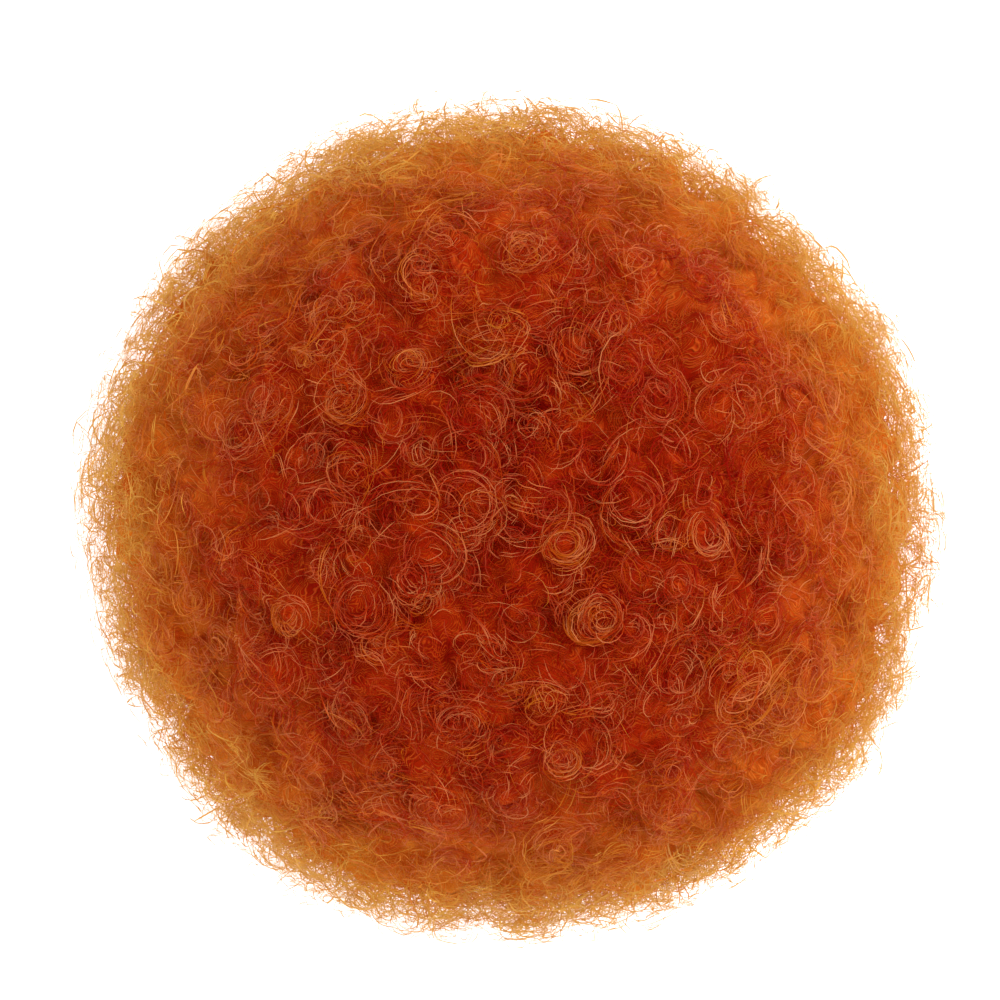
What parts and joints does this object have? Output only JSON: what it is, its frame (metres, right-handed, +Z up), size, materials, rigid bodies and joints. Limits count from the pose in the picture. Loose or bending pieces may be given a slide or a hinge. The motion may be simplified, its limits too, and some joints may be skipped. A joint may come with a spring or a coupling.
{
  "type": "afro wig",
  "caption": "Round afro wig: a ball of tight orange curls over an open stretch cap with an elastic hem, resting on its flat underside.",
  "frame": {"origin": "on the surface that the wig rests on, under the middle of the hair's box", "axes": "+Z up out of the crown, -Y towards the front of the head, +X towards its left side"},
  "size_m": [0.356, 0.352, 0.254],
  "materials": {
    "cap_net": "fine stretch net, matt",
    "elastic_hem": "ribbed woven elastic, matt",
    "curl_fibre": "tightly curled synthetic fibre, soft satin"
  },
  "bodies": {
    "root": {"wig_cap": "cap_net", "edge_band": "elastic_hem", "curly_hair": "curl_fibre"}
  },
  "joints": []
}
